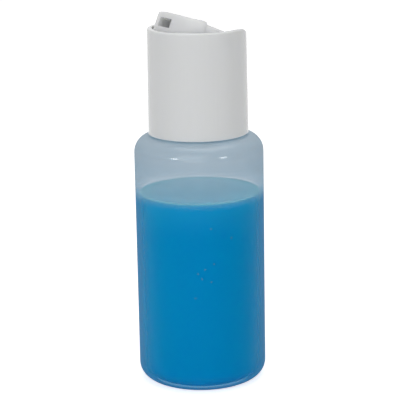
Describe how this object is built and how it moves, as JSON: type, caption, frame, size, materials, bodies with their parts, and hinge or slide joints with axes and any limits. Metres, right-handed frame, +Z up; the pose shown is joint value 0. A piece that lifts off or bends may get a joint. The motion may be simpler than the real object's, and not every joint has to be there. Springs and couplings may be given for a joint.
{
  "type": "sample bottle",
  "caption": "Small cylindrical blow-moulded sample bottle part filled with blue liquid, with a white press-disc dispensing cap that screws on and stands open.",
  "frame": {"origin": "middle of the base, on the surface that the bottle stands on", "axes": "+Z up along the bottle's axis, -Y towards the picture's viewer, nozzle at 214.5 degrees from +X"},
  "size_m": [0.03, 0.03, 0.0874],
  "materials": {
    "bottle_hdpe": "natural milky polyethylene, blow moulded, satin and translucent",
    "blue_liquid": "clear blue water-thin liquid",
    "washer_foam": "white closed-cell polyethylene foam",
    "cap_pp": "white injection-moulded polypropylene, smooth with a soft gloss"
  },
  "bodies": {
    "bottle": {"bottle": "bottle_hdpe", "liquid": "blue_liquid"},
    "washer": {"seal_washer": "washer_foam"},
    "cap": {"cap_shell": "cap_pp"},
    "disc": {"press_disc": "cap_pp"}
  },
  "joints": [
    {"name": "cap_lift", "type": "slide", "parent": "bottle", "child": "washer", "axis": [0, 0, 1], "range_m": [0, 0.0048]},
    {"name": "cap_turn", "type": "hinge", "parent": "washer", "child": "cap", "pos_m": [0, 0, 0.074], "axis": [0, 0, 1], "range_deg": [0, 540]},
    {"name": "disc_tip", "type": "hinge", "parent": "cap", "child": "disc", "pos_m": [0.00074, 0.00051, 0.0805], "axis": [0.5664, -0.8241, 0], "range_deg": [0, 23.4]}
  ],
  "couplings": [
    {"joint": "cap_lift", "follows": "cap_turn", "m_per_rad": 0.00050532}
  ]
}
